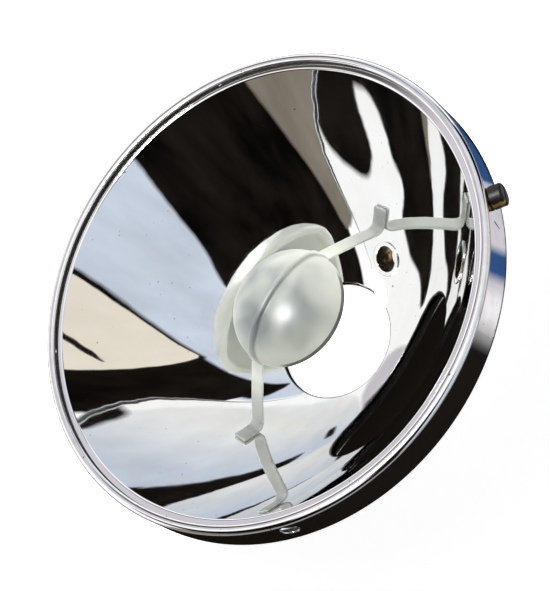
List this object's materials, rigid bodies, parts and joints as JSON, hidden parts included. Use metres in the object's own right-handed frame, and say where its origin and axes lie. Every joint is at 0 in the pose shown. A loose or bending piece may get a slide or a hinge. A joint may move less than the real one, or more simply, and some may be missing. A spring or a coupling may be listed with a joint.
{
  "type": "flash bulb gun reflector head",
  "caption": "Polished bowl reflector head of a flash bulb gun, with a bezel hoop, a frosted shade on spring arms in front of the bulb hole, and a rear mounting collar.",
  "frame": {"origin": "on the bowl's axis, in the rear face of the mounting collar, which is the bottom of the object standing mouth up", "axes": "+Z along the bowl's axis, out of its mouth; the shade's two arms lie along X; the fixing screw points between +X and -Y"},
  "size_m": [0.1526, 0.1526, 0.0614],
  "materials": {
    "chrome": "mirror bright plating, fine wipe marks",
    "plated_steel": "dull plated, turned",
    "brass": "aged bright",
    "dark_steel": "blued spring steel",
    "rubber": "matt, aged",
    "black_lacquer": "gloss, worn on its edges",
    "frosted_plastic": "milky, translucent, satin"
  },
  "bodies": {
    "head": {"reflector_bowl": "chrome", "bezel_hoop": "chrome", "seat_gasket": "rubber", "retaining_clip_1": "dark_steel", "retaining_clip_2": "dark_steel", "retaining_clip_3": "dark_steel", "retaining_clip_4": "dark_steel", "sight_sleeve": "brass", "sight_retaining_ring": "plated_steel", "mount_collar": "black_lacquer", "fixing_nut_1": "dark_steel", "fixing_nut_2": "dark_steel", "fixing_nut_3": "dark_steel", "fixing_nut_4": "dark_steel"},
    "shade": {"frosted_shade": "frosted_plastic"},
    "screw": {"fixing_screw": "brass", "screw_head_cap": "black_lacquer"}
  },
  "joints": [
    {"name": "shade_lift", "type": "slide", "parent": "head", "child": "shade", "axis": [0, 0, 1], "range_m": [0, 0.07]},
    {"name": "screw_turn", "type": "hinge", "parent": "head", "child": "screw", "pos_m": [0.05374, -0.05374, 0.0568], "axis": [0.7071, -0.7071, 0], "continuous": true}
  ]
}
